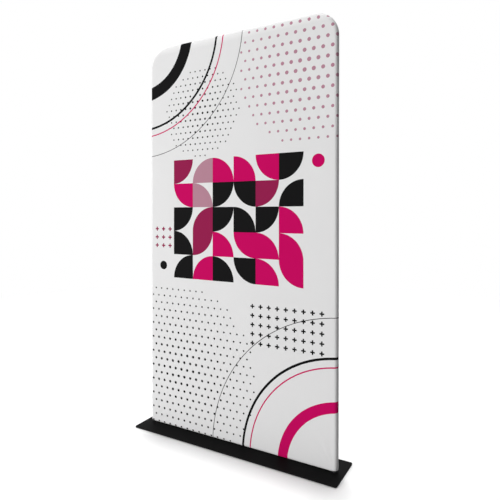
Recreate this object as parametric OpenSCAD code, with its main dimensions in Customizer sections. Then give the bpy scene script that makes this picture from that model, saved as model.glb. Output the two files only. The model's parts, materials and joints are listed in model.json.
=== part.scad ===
// Tension-fabric banner stand: a knock-down tube frame inside a zipped, printed fabric cover,
// which stands on two pins of a flat steel base plate.
// Millimetres. X runs across the width, -Y is the front, +Z is up, and the floor is Z = 0.
// The origin is the middle of the base's footprint. Everything is drawn for the right-hand side
// (+X) and mirrored for the left.

/* [Stand] */
// Height from the floor to the top of the cover
stand_h = 2300; // [1800:10:2500]
// Width of the frame, measured over its side tubes
frame_w = 1200; // [800:10:1500]

/* [Tubes] */
// Outside diameter of the frame's tubes
tube_d = 32; // [30:1:34]
// Wall thickness of the frame's tubes
tube_wall = 1.5; // [1.2:0.1:2]
// Outside radius of the two bent top corners
corner_r = 125; // [90:5:200]

/* [Base] */
// Width of the base plate
plate_w = 1270; // [1210:10:1400]
// Depth of the base plate, front to back
plate_d = 250; // [200:10:400]
// Thickness of the base plate
plate_t = 5; // [5:1:8]
// Radius of the base plate's corners
plate_corner_r = 10; // [5:1:30]
// Thickness of the rubber feet under the plate
foot_t = 3; // [2:0.5:5]
// Diameter of a foot
foot_d = 30; // [20:1:40]
// Diameter of the two pins that carry the frame
pin_d = 22; // [18:1:22]
// Height of a pin above the plate
pin_h = 100; // [60:5:100]

/* [Connectors] */
// Length of a connector's spigot inside a tube
spigot_len = 60; // [55:1:70]
// Diameter of a snap button
button_d = 8; // [6:0.5:9]
// How far a snap button stands out of its tube
button_out = 2.5; // [2:0.1:3]
// Height of the tee connector's middle on each post
tee_z = 1150; // [900:10:1300]

/* [Cover] */
// Thickness of the stretch fabric
cover_t = 0.75; // [0.5:0.05:0.75]
// Gap left between the fabric and the tubes that stretch it
cover_ease = 0.25; // [0.2:0.05:0.3]
// Height of the zip above the bottom rail's axis
zip_rise = 26; // [24:1:60]

/* [Zip] */
// Distance from one zip tooth to the next
tooth_pitch = 3.2; // [3:0.1:4]
// Thickness of the zip teeth
tooth_t = 2.6; // [2:0.1:3]
// Width of one zip tape
tape_w = 11; // [9:0.5:14]
// Length of the zip slider
slider_len = 12; // [10:0.5:14]
// Length of the slider's pull tab
pull_len = 24; // [18:1:30]

/* [Hidden] */
$fn = 72;

// How far one solid reaches past another where a cut has to go right through
past = 1;

// Tube frame: radii and the lines that its tubes run along
tube_r = tube_d / 2;
bore_r = tube_r - tube_wall;
plate_top = foot_t + plate_t;
cover_r = tube_r + cover_ease + cover_t;
cover_clear = 1;
rail_z = plate_top + cover_clear + cover_r;
top_z = stand_h - cover_r;
post_x = frame_w / 2 - tube_r;
bend_r = corner_r - tube_r;

// Joints between the tubes: distances from the axis that a connector's branch leaves
collar = 32;
corner_leg = 70;
leg_z = top_z - bend_r - corner_leg;
leg_x = post_x - bend_r - corner_leg;

// Connectors: a spigot slides in a tube with a little play
spigot_play = 0.1;
spigot_wall = 2.5;
spigot_r = bore_r - spigot_play;
hollow_r = spigot_r - spigot_wall;
lead_in = 1.5;
lead_in_r = 1;
pin_tip = 3;
pin_play = 0.2;
boss_r = 14;
boss_clear = 1;
foot_spigot_len = 90;
bore_floor = 4;

// Snap button and its bent strip spring, in a spigot's own frame (see snap_frame)
button_at = 34;
button_r = button_d / 2;
button_play = 0.2;
button_hole_r = button_r + button_play;
button_tip = tube_r + button_out;
dome_h = 1.6;
strip_t = 0.8;
strip_w = 8;
strip_end = 44;
strip_bend = 24;
seat_in = 2.1;
rest_in = 0.05;
strip_seat = hollow_r - seat_in;
strip_rest = rest_in - sqrt(hollow_r * hollow_r - strip_w * strip_w / 4);
fold_r = 2.4;
fold_at = 5;
fold_step = 20;

// Blind rivets that hold a connector in its tube for good
rivet_r = 2;
rivet_head_r = 4;
rivet_head_t = 1.2;
rivet_head_ease = 1.2;
rivet_play = 0.05;
rivet_tail_r = 2.8;
rivet_tail_t = 2.4;
rivet_at = 30;
foot_rivet_in = 16;

// Base screws, countersunk from below, and the plate's feet
foot_ease = 0.8;
screw_r = 4;
screw_head_r = 8;
screw_head_t = 4;
screw_len = 18;
screw_sunk = 0.15;
screw_play = 0.05;
hole_play = 0.3;
socket_af = 5;
socket_deep = 2.5;

// Zip: the back of the cover has a slot that the tapes close
zip_z = rail_z + zip_rise;
zip_half = floor((post_x - collar) / tooth_pitch) * tooth_pitch;
slot_half = 6.5;
slot_over = 4;
stop_len = 3;
slider_park = 14;
tape_t = 0.5;
tape_over = 9;
spine_in = 1.3;
spine_out = 2.6;
zip_y = cover_r - cover_t - tape_t / 2;
slider_x = zip_half - slider_park;
slider_w = 11;
slider_waist = 9.8;
wing_t = 1;
wing_in = 1.9;
lip_in = 3.9;
lip_gap = 0.7;
lip_edge = 0.1;
lip_short = 2;
wedge_len = 3.3;
wedge_blunt = 0.8;
wedge_wide = 1;
wedge_narrow = 0.8;
wedge_edge = 0.2;
lug_r = 1.6;
lug_w = 1.8;
hinge_up = 4.5;
hinge_pin_r = 0.7;
hinge_play = 0.1;
ear_r = 1.3;
ear_gap = 0.2;
ear_w = 1;
arm_t = 1;
ear_lap = 0.5;
tab_from = 2;
tab_t = 1.3;
tab_w = 6;
tab_hole_r = 1.6;

// ---------------------------------------------------------------- shared shapes

// A tube or rod along +Z, with an optional bore
module pipe(len, r, bore = 0) {
  linear_extrude(len) difference() {
    circle(r);
    if (bore > 0) circle(bore);
  }
}

// The left-hand twin of a part that is drawn on the right
module left() mirror([1, 0, 0]) children();

// A 2D quarter of a disc in the first quadrant
module quarter_disc(r) intersection() {
  circle(r);
  square(r + past);
}

// A rectangle with round corners, centred on the origin
module round_rect(w, d, r) {
  square([w - 2 * r, d], center = true);
  for (s = [-1, 1]) translate([s * (w / 2 - r / 2), 0]) square([r, d - 2 * r], center = true);
  for (sx = [0, 1], sy = [0, 1])
    mirror([sx, 0]) mirror([0, sy]) translate([w / 2 - r, d / 2 - r]) quarter_disc(r);
}

// Lays a flat drawing up: its X is the width, its Y is the height and its Z faces the front
module facing_front() rotate([90, 0, 0]) children();

// The same, with its Z facing the back
module facing_back() mirror([0, 1, 0]) facing_front() children();

// ---------------------------------------------------------------- snap joints
// Five joints on each side. A joint's frame has its origin where two tubes meet, on their axis,
// +Z into the tube that slides on, and +X the way the snap button points: always to the inside of
// the frame, where no fabric lies on it.

BOTTOM = 0;
MID = 1;
POST = 2;
CORNER = 3;
TOP = 4;
SNAP_AT = [
  [post_x - collar, 0, rail_z],
  [post_x - collar, 0, tee_z],
  [post_x, 0, tee_z + collar],
  [post_x, 0, leg_z],
  [leg_x, 0, top_z]
];
SNAP_TURN = [[0, -90, 0], [0, -90, 0], [0, 0, 180], [0, 0, 180], [0, 90, 0]];
SNAP_SPIN = [0, 180, 0, 0, 0];

module snap_frame(joint) {
  translate(SNAP_AT[joint]) rotate(SNAP_TURN[joint]) rotate([0, 0, SNAP_SPIN[joint]]) children();
}

// Holes for the buttons, square to the joint's axis
module button_hole(joint) {
  snap_frame(joint) translate([0, 0, button_at]) rotate([0, 90, 0])
    cylinder(h = tube_r + past, r = button_hole_r);
}

// Holes for a rivet, behind the joint's face
module rivet_hole(joint) {
  snap_frame(joint) translate([0, 0, -rivet_at]) rotate([0, 90, 0])
    cylinder(h = tube_r + past, r = rivet_r + rivet_play);
}

// The spigot that a tube slides on, with a lead-in at its free end
module spigot(len) {
  pipe(len - lead_in, spigot_r);
  translate([0, 0, len - lead_in]) cylinder(h = lead_in, r1 = spigot_r, r2 = spigot_r - lead_in_r);
}

// The blind bore that a branch's spring lies in
module spring_bore(joint) {
  snap_frame(joint) translate([0, 0, -bore_floor])
    cylinder(h = bore_floor + spigot_len + past, r = hollow_r);
}

module snap_button(joint) color("silver") snap_frame(joint)
  translate([strip_seat, 0, button_at]) rotate([0, 90, 0]) {
    straight = button_tip - dome_h - strip_seat;
    cylinder(h = straight, r = button_r);
    translate([0, 0, straight]) rotate_extrude() button_dome();
  }

// Half of the button's domed end: an arc through the tip and the rim
module button_dome() {
  dome_r = (button_r * button_r + dome_h * dome_h) / (2 * dome_h);
  intersection() {
    translate([0, dome_h - dome_r]) circle(dome_r);
    square([button_r, dome_h + past]);
  }
}

// A strip of spring steel folded to a V: one leg rests on the spigot's wall, the other carries the
// button
module snap_spring(joint) color("gainsboro") snap_frame(joint)
  translate([0, strip_w / 2, 0]) rotate([90, 0, 0]) linear_extrude(strip_w) polygon(concat(
    [[strip_rest, strip_end], [strip_rest, strip_bend]],
    [for (a = [180 : fold_step : 360]) fold_point(fold_r, a)],
    [[strip_seat, strip_bend], [strip_seat, strip_end]],
    [[strip_seat - strip_t, strip_end], [strip_seat - strip_t, strip_bend]],
    [for (a = [360 : -fold_step : 180]) fold_point(fold_r - strip_t, a)],
    [[strip_rest + strip_t, strip_bend], [strip_rest + strip_t, strip_end]]
  ));

// A point on the strip's fold, which is half a turn below its centre
function fold_point(r, angle) = [r * cos(angle), fold_at + r * sin(angle)];

// A blind rivet: dome outside the tube, shank through both walls, formed tail inside
module rivet(inner_r) rotate([0, 90, 0]) {
  seat = sqrt(inner_r * inner_r - rivet_tail_r * rivet_tail_r);
  tail_in = seat - rivet_tail_t;
  translate([0, 0, tail_in]) cylinder(h = rivet_tail_t, r = rivet_tail_r);
  translate([0, 0, tail_in]) cylinder(h = tube_r - tail_in, r = rivet_r);
  translate([0, 0, tube_r]) cylinder(h = rivet_head_t / 2, r = rivet_head_r);
  translate([0, 0, tube_r + rivet_head_t / 2])
    cylinder(h = rivet_head_t / 2, r1 = rivet_head_r, r2 = rivet_head_r - rivet_head_ease);
}

// ---------------------------------------------------------------- base

module base_plate() color("#1d1d1d") difference() {
  translate([0, 0, foot_t]) linear_extrude(plate_t) round_rect(plate_w, plate_d, plate_corner_r);
  for (s = [-1, 1]) translate([s * post_x, 0, foot_t - past]) {
    cylinder(h = plate_t + 2 * past, r = screw_r + hole_play);
    cylinder(h = screw_head_t + past, r1 = screw_head_r + hole_play + past, r2 = screw_r + hole_play);
  }
}

// Rubber feet, with their lower edges eased
module base_feet() color("#2a2a2a") for (x = [-1, 0, 1], y = [-1, 1])
  translate([x * (plate_w / 2 - foot_d), y * (plate_d / 2 - foot_d), 0]) {
    cylinder(h = foot_ease, r1 = foot_d / 2 - foot_ease, r2 = foot_d / 2);
    translate([0, 0, foot_ease]) cylinder(h = foot_t - foot_ease, r = foot_d / 2);
  }

// A turned pin with a chamfered tip, bored from below for its screw
module base_pin() color("silver") translate([post_x, 0, plate_top]) difference() {
  union() {
    cylinder(h = pin_h - pin_tip, r = pin_d / 2);
    translate([0, 0, pin_h - pin_tip]) cylinder(h = pin_tip, r1 = pin_d / 2, r2 = pin_d / 2 - pin_tip);
  }
  translate([0, 0, -past]) cylinder(h = screw_len + past, r = screw_r + screw_play);
}

module base_screws() color("dimgray") for (s = [-1, 1])
  translate([s * post_x, 0, foot_t + screw_sunk]) difference() {
    union() {
      cylinder(h = screw_head_t, r1 = screw_head_r, r2 = screw_r);
      translate([0, 0, screw_head_t]) cylinder(h = screw_len - screw_head_t, r = screw_r);
    }
    translate([0, 0, -past]) cylinder(h = socket_deep + past, r = socket_af / sqrt(3), $fn = 6);
  }

// ---------------------------------------------------------------- connectors

// Square moulded corner at the foot of a post: a socket for the base pin, a spigot riveted into
// the post and a spigot for the bottom rail
module bottom_corner() color("#202020") difference() {
  union() {
    translate([post_x, 0, rail_z]) {
      cylinder(h = collar, r = tube_r);
      rotate([0, -90, 0]) cylinder(h = collar, r = tube_r);
      elbow_ball();
      translate([0, 0, plate_top - rail_z]) cylinder(h = rail_z - plate_top, r = boss_r);
      translate([0, 0, collar]) spigot(foot_spigot_len);
    }
    snap_frame(BOTTOM) spigot(spigot_len);
  }
  translate([post_x, 0, plate_top - past])
    cylinder(h = rail_z + collar + foot_spigot_len, r = pin_d / 2 + pin_play);
  spring_bore(BOTTOM);
  button_hole(BOTTOM);
  translate([post_x, 0, foot_rivet_z]) rotate([0, -90, 0]) cylinder(h = tube_r, r = rivet_r + rivet_play);
}

// The quarter ball that rounds the outside of the square corner
module elbow_ball() rotate([-90, 0, 0]) rotate_extrude(angle = 90) intersection() {
  circle(tube_r);
  translate([0, -tube_r]) square([tube_r, 2 * tube_r]);
}

// Height of the rivet in a bottom corner: above the pin, so that the pin never meets its tail
foot_rivet_z = rail_z + collar + foot_spigot_len - foot_rivet_in;

// Tee halfway up a post: riveted into the lower post, with spigots for the upper post and mid rail
module tee() color("#202020") difference() {
  union() {
    translate([post_x, 0, tee_z - collar]) cylinder(h = 2 * collar, r = tube_r);
    translate([post_x, 0, tee_z]) rotate([0, -90, 0]) cylinder(h = collar, r = tube_r);
    snap_frame(POST) spigot(spigot_len);
    snap_frame(MID) spigot(spigot_len);
    translate([post_x, 0, tee_z - collar]) mirror([0, 0, 1]) spigot(spigot_len);
  }
  translate([post_x, 0, tee_z - collar - spigot_len - past])
    cylinder(h = 2 * (collar + spigot_len + past), r = hollow_r);
  spring_bore(MID);
  button_hole(POST);
  button_hole(MID);
  translate([post_x, 0, tee_z - collar - rivet_at]) rotate([0, -90, 0])
    cylinder(h = tube_r, r = rivet_r + rivet_play);
}

// Straight sleeve that joins two tubes end to end: riveted in one, snapped in the other
module inline_connector(joint) color("silver") difference() {
  snap_frame(joint) difference() {
    union() {
      spigot(spigot_len);
      mirror([0, 0, 1]) spigot(spigot_len);
    }
    translate([0, 0, -spigot_len - past]) cylinder(h = 2 * (spigot_len + past), r = hollow_r);
  }
  button_hole(joint);
  rivet_hole(joint);
}

// ---------------------------------------------------------------- tubes

module lower_post() color("silver") difference() {
  foot = rail_z + collar;
  translate([post_x, 0, foot]) pipe(tee_z - collar - foot, tube_r, bore_r);
  translate([post_x, 0, foot_rivet_z]) rotate([0, -90, 0]) cylinder(h = tube_r + past, r = rivet_r + rivet_play);
  translate([post_x, 0, tee_z - collar - rivet_at]) rotate([0, -90, 0])
    cylinder(h = tube_r + past, r = rivet_r + rivet_play);
}

module upper_post() color("silver") difference() {
  translate([post_x, 0, tee_z + collar]) pipe(leg_z - tee_z - collar, tube_r, bore_r);
  button_hole(POST);
  rivet_hole(CORNER);
}

// Bent top corner with a straight leg at each end
module corner_tube() color("silver") difference() {
  union() {
    translate([post_x, 0, leg_z]) pipe(corner_leg, tube_r, bore_r);
    translate([post_x - bend_r, 0, top_z - bend_r]) rotate([90, 0, 0])
      rotate_extrude(angle = 90) translate([bend_r, 0]) difference() {
        circle(tube_r);
        circle(bore_r);
      }
    translate([leg_x, 0, top_z]) rotate([0, 90, 0]) pipe(corner_leg, tube_r, bore_r);
  }
  button_hole(CORNER);
  button_hole(TOP);
}

module rail(half, z) translate([-half, 0, z]) rotate([0, 90, 0]) pipe(2 * half, tube_r, bore_r);

module top_rail() color("silver") difference() {
  rail(leg_x, top_z);
  rivet_hole(TOP);
  left() rivet_hole(TOP);
}

module mid_rail() color("silver") difference() {
  rail(post_x - collar, tee_z);
  button_hole(MID);
  left() button_hole(MID);
}

module bottom_rail() color("silver") difference() {
  rail(post_x - collar, rail_z);
  button_hole(BOTTOM);
  left() button_hole(BOTTOM);
}

module rivets() color("gray") for (side = [0, 1]) mirror([side, 0, 0]) {
  for (joint = [CORNER, TOP]) snap_frame(joint) translate([0, 0, -rivet_at]) rivet(hollow_r);
  translate([post_x, 0, foot_rivet_z]) rotate([0, 0, 180]) rivet(pin_d / 2 + pin_play);
  translate([post_x, 0, tee_z - collar - rivet_at]) rotate([0, 0, 180]) rivet(hollow_r);
}

// ---------------------------------------------------------------- fabric cover
// Two panels sewn round the sides, top and bottom. Each is a flat face and a quarter-round edge
// that wraps half way round the tubes.

// The line that the tubes' axes run along, as a 2D face: round at the top, square at the bottom
module axis_face() {
  translate([-post_x, rail_z]) square([2 * post_x, top_z - bend_r - rail_z]);
  translate([bend_r - post_x, top_z - bend_r]) square([2 * (post_x - bend_r), bend_r]);
  for (s = [0, 1]) mirror([s, 0]) translate([post_x - bend_r, top_z - bend_r]) quarter_disc(bend_r);
}

// Section of a wrapped edge: X points out of the frame, Y to the panel's face
module wrap_section() difference() {
  quarter_disc(cover_r);
  circle(cover_r - cover_t);
}

// One panel, drawn flat: X is the width, Y is the height, and Z faces outwards
module cover_panel() {
  side_h = top_z - bend_r - rail_z;
  top_w = 2 * (post_x - bend_r);
  translate([0, 0, cover_r - cover_t]) linear_extrude(cover_t) axis_face();
  for (s = [0, 1]) mirror([s, 0, 0]) {
    translate([post_x, top_z - bend_r, 0]) rotate([90, 0, 0]) linear_extrude(side_h) wrap_section();
    translate([post_x - bend_r, top_z - bend_r, 0])
      rotate_extrude(angle = 90) translate([bend_r, 0]) wrap_section();
    translate([post_x, rail_z, 0]) rotate([0, 0, -90]) rotate_extrude(angle = 90) wrap_section();
  }
  translate([-top_w / 2, top_z, 0]) rotate([90, 0, 90]) linear_extrude(top_w) wrap_section();
  translate([-post_x, rail_z, 0]) mirror([0, 1, 0]) rotate([90, 0, 90])
    linear_extrude(2 * post_x) wrap_section();
}

// Openings at the bottom corners that let the connectors' bosses through
module boss_openings() for (s = [-1, 1]) translate([s * post_x, 0, 0])
  cylinder(h = rail_z, r = boss_r + boss_clear);

module cover_front() color("whitesmoke") difference() {
  facing_front() cover_panel();
  boss_openings();
}

module cover_back() color("whitesmoke") difference() {
  facing_back() cover_panel();
  boss_openings();
  facing_back() translate([-zip_half - slot_over, zip_z - slot_half, 0])
    cube([2 * (zip_half + slot_over), 2 * slot_half, cover_r + past]);
}

// ---------------------------------------------------------------- zip
// Drawn flat and turned to the back: X is along the zip, Y is across it, and Z = 0 is its middle.

module on_zip(x = 0) facing_back() translate([x, zip_z, zip_y]) children();

// One tape, sewn under the fabric beside the slot
module zip_tape() color("white") translate([-zip_half - tape_over, spine_out, -tape_t / 2])
  cube([2 * (zip_half + tape_over), tape_w, tape_t]);

// One row of teeth: a bead along the tape's edge with a bulb-headed tooth at every pitch. The rows
// mesh with half a pitch between them as far as the slider; beyond it the beads lie apart.
module tooth_row(shift) color("white") translate([0, 0, -tooth_t / 2]) linear_extrude(tooth_t)
  polygon(concat(
    [[zip_half - stop_len, spine_in], [zip_half - stop_len, spine_out]],
    [[-zip_half, spine_out], [-zip_half, spine_in]],
    [for (i = [0 : teeth - 1]) each tooth_outline(-zip_half + (i + shift) * tooth_pitch)]
  ));

teeth = floor((slider_x + zip_half) / tooth_pitch);
tooth_tip = -1.1;
tooth_neck = 0.45;
tooth_head = 0.7;

// A tooth's outline from left to right, starting and ending on the bead
function tooth_outline(x) = [
  [x - tooth_neck, spine_in],
  [x - tooth_head, 0],
  [x - tooth_neck, tooth_tip],
  [x + tooth_neck, tooth_tip],
  [x + tooth_head, 0],
  [x + tooth_neck, spine_in]
];

// Stops: a bar across both tapes at the open end, and a clip on each tape at the closed end
module zip_stops() color("gainsboro") on_zip() {
  translate([-zip_half - stop_len, -spine_out, -tooth_t / 2])
    cube([stop_len, 2 * spine_out, tooth_t]);
  for (s = [0, 1]) mirror([0, s, 0]) translate([zip_half - stop_len, spine_in, -tooth_t / 2])
    cube([stop_len, spine_out - spine_in, tooth_t]);
}

module zip_slider() color("silver") on_zip(slider_x) {
  for (s = [-1, 1]) {
    translate([0, 0, s * (wing_in + wing_t / 2) - wing_t / 2]) linear_extrude(wing_t) slider_outline();
    for (z = [-wing_in, lip_gap]) translate([0, 0, z]) linear_extrude(wing_in - lip_gap)
      mirror([0, (1 - s) / 2]) slider_lip();
  }
  translate([0, 0, -wing_in]) linear_extrude(2 * wing_in) slider_wedge();
  pull_lug();
}

// Outline of the slider's two wings: straight at the tail, round and broader at the nose
module slider_outline() {
  translate([-slider_len / 2, -slider_waist / 2]) square([slider_len / 2, slider_waist]);
  translate([(slider_len - slider_w) / 2, 0]) circle(slider_w / 2);
}

// A lip just inside the wing's edge, which keeps the row of teeth in
module slider_lip() translate([-slider_len / 2, lip_in])
  square([slider_len - lip_short, slider_waist / 2 - lip_in - lip_edge]);

// The wedge at the nose that parts the two rows, widest a little behind its blunt end
module slider_wedge() translate([slider_len / 2 - wedge_edge, 0]) polygon([
  [-wedge_len, 0],
  [-wedge_blunt, wedge_wide],
  [0, wedge_narrow],
  [0, -wedge_narrow],
  [-wedge_blunt, -wedge_wide]
]);

// The lug on the outer wing, with a hole for the pull tab's pin
module pull_lug() translate([0, lug_w / 2, 0]) rotate([90, 0, 0]) linear_extrude(lug_w) difference() {
  union() {
    translate([0, hinge_up]) circle(lug_r);
    translate([-lug_r, wing_in + wing_t]) square([2 * lug_r, hinge_up - wing_in - wing_t]);
  }
  translate([0, hinge_up]) circle(hinge_pin_r + hinge_play);
}

// Pull tab: two ears on a pin, and a flat tab with a round, pierced end that lies along the zip
module zip_pull() color("silver") on_zip(slider_x) translate([0, 0, hinge_up]) {
  ear_out = lug_w / 2 + ear_gap + ear_w;
  tab_r = tab_w / 2;
  translate([0, ear_out, 0]) rotate([90, 0, 0]) cylinder(h = 2 * ear_out, r = hinge_pin_r);
  for (s = [-1, 1]) translate([0, s * (ear_out - ear_w / 2) + ear_w / 2, 0]) rotate([90, 0, 0])
    linear_extrude(ear_w) {
      circle(ear_r);
      translate([-tab_from - ear_lap, -arm_t / 2]) square([tab_from + ear_lap, arm_t]);
    }
  translate([0, 0, -tab_t / 2]) linear_extrude(tab_t) difference() {
    union() {
      translate([tab_r - pull_len, -tab_r]) square([pull_len - tab_r - tab_from, tab_w]);
      translate([tab_r - pull_len, 0]) circle(tab_r);
    }
    translate([tab_r - pull_len, 0]) circle(tab_hole_r);
  }
}

// ---------------------------------------------------------------- nodes

base_plate();
base_feet();
left() base_pin();  // base_pin_left
base_pin();  // base_pin_right
base_screws();
left() bottom_corner();  // bottom_corner_left
bottom_corner();  // bottom_corner_right
left() lower_post();  // lower_post_left
lower_post();  // lower_post_right
left() tee();  // tee_left
tee();  // tee_right
left() upper_post();  // upper_post_left
upper_post();  // upper_post_right
left() inline_connector(CORNER);  // post_connector_left
inline_connector(CORNER);  // post_connector_right
left() corner_tube();  // corner_tube_left
corner_tube();  // corner_tube_right
left() inline_connector(TOP);  // rail_connector_left
inline_connector(TOP);  // rail_connector_right
top_rail();
mid_rail();
bottom_rail();
rivets();
left() snap_button(BOTTOM);  // button_bottom_left
snap_button(BOTTOM);  // button_bottom_right
left() snap_button(MID);  // button_mid_left
snap_button(MID);  // button_mid_right
left() snap_button(POST);  // button_post_left
snap_button(POST);  // button_post_right
left() snap_button(CORNER);  // button_corner_left
snap_button(CORNER);  // button_corner_right
left() snap_button(TOP);  // button_top_left
snap_button(TOP);  // button_top_right
left() snap_spring(BOTTOM);  // spring_bottom_left
snap_spring(BOTTOM);  // spring_bottom_right
left() snap_spring(MID);  // spring_mid_left
snap_spring(MID);  // spring_mid_right
left() snap_spring(POST);  // spring_post_left
snap_spring(POST);  // spring_post_right
left() snap_spring(CORNER);  // spring_corner_left
snap_spring(CORNER);  // spring_corner_right
left() snap_spring(TOP);  // spring_top_left
snap_spring(TOP);  // spring_top_right
cover_front();
cover_back();
on_zip() zip_tape();  // zip_tape_upper
on_zip() mirror([0, 1, 0]) zip_tape();  // zip_tape_lower
on_zip() tooth_row(0.25);  // zip_teeth_upper
on_zip() mirror([0, 1, 0]) tooth_row(0.75);  // zip_teeth_lower
zip_stops();
zip_slider();
zip_pull();
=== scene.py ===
"""The looks of a tension-fabric banner stand, dressed over its packed construction.

Everything is in metres and in the frame's own coordinates: X across the width, -Y the printed
front, +Z up, and the floor at Z = 0.
"""

import contextlib
import functools
import json
import logging
import math
from collections.abc import Callable, Iterator
from dataclasses import dataclass
from enum import Enum
from typing import Self

import bmesh
import bpy
import numpy as np
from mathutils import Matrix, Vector

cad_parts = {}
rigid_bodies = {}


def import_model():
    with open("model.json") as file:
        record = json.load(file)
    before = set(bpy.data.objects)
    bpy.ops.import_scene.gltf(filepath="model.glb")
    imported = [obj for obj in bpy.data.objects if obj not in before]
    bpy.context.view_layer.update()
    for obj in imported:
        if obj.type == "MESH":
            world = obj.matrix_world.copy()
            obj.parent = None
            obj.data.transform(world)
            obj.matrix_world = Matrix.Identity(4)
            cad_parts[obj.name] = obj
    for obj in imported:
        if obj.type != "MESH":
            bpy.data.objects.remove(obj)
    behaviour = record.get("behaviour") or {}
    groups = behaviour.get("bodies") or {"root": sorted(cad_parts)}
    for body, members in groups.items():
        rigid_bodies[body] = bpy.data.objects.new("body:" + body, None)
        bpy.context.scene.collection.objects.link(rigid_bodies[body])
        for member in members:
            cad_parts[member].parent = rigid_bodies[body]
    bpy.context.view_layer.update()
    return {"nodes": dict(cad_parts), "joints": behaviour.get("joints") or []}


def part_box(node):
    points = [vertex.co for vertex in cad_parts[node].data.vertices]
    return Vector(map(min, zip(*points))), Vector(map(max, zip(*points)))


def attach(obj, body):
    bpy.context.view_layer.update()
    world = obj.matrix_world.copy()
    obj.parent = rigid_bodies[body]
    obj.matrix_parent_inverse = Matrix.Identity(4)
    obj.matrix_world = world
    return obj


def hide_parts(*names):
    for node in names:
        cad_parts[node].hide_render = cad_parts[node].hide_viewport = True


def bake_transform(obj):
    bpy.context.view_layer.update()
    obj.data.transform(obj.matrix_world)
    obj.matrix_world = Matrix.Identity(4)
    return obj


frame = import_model()

log = logging.getLogger("banner_stand")

MM = 0.001
QUARTER = math.pi / 2
NEARLY_NONE = 1e-6
SAME_CORNER = 0.001 * MM
SAME_CLOTH = 0.002 * MM
FLAT_ANGLE = math.radians(0.4)
SHARP_ANGLE = math.radians(40)
RAILS = ("top_rail", "mid_rail", "bottom_rail")
UPRIGHTS = ("lower_post", "upper_post", "corner_tube")
PAIR = tuple[float, float]
TRIPLE = tuple[float, float, float]


class Side(Enum):
    """The two faces of the banner, by the sign of Y that each looks along."""

    FRONT = -1
    BACK = 1


class Grain(Enum):
    """Which way a drawn or rolled metal part's fine lines run."""

    ALONG_X = (0.02, 1.0, 1.0)
    ALONG_Z = (1.0, 1.0, 0.02)
    NONE = (1.0, 1.0, 1.0)


# ---------------------------------------------------------------- shader graphs


def sign(operation: str, swapped: bool = False) -> Callable[["Value", object], "Value"]:
    """Makes the method of Value that stands for one sign of arithmetic.

    Args:
        operation: the Math node's operation.
        swapped: whether the other number comes first.

    Returns:
        The method.
    """

    def method(self: "Value", other: object) -> "Value":
        """Adds the Math node."""
        return self.graph.math(operation, *((other, self) if swapped else (self, other)))

    return method


class Value:
    """A node's output to reckon with: each sign of arithmetic adds a Math node to its graph."""

    def __init__(self, graph: "Graph", socket: bpy.types.NodeSocket) -> None:
        """Keeps the output's socket and its graph."""
        self.graph, self.socket = graph, socket

    __add__ = sign("ADD")
    __sub__, __rsub__ = sign("SUBTRACT"), sign("SUBTRACT", swapped=True)
    __mul__ = sign("MULTIPLY")
    __truediv__, __rtruediv__ = sign("DIVIDE"), sign("DIVIDE", swapped=True)
    __mod__ = sign("FLOORED_MODULO")
    __lt__, __gt__ = sign("LESS_THAN"), sign("GREATER_THAN")

    def __abs__(self) -> "Value":
        """Its size, whatever its sign."""
        return self.graph.math("ABSOLUTE", self)

    def between(self, low: object, high: object) -> "Value":
        """A number from 0 to 1 mapped to a range."""
        return self.graph.fed("ShaderNodeMapRange", {"Value": self, "To Min": low, "To Max": high})

    def below(self, limit: object, soft: float) -> "Value":
        """1 where this is below a limit and 0 above it, with a smooth step that is twice soft wide."""
        inputs = {"Value": self - limit, "From Min": -soft, "From Max": soft, "To Min": 1.0, "To Max": 0.0}
        return self.graph.fed("ShaderNodeMapRange", inputs, interpolation_type="SMOOTHSTEP")

    def beside(self, output: str) -> "Value":
        """Another output of the same node."""
        return Value(self.graph, self.socket.node.outputs[output])


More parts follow.
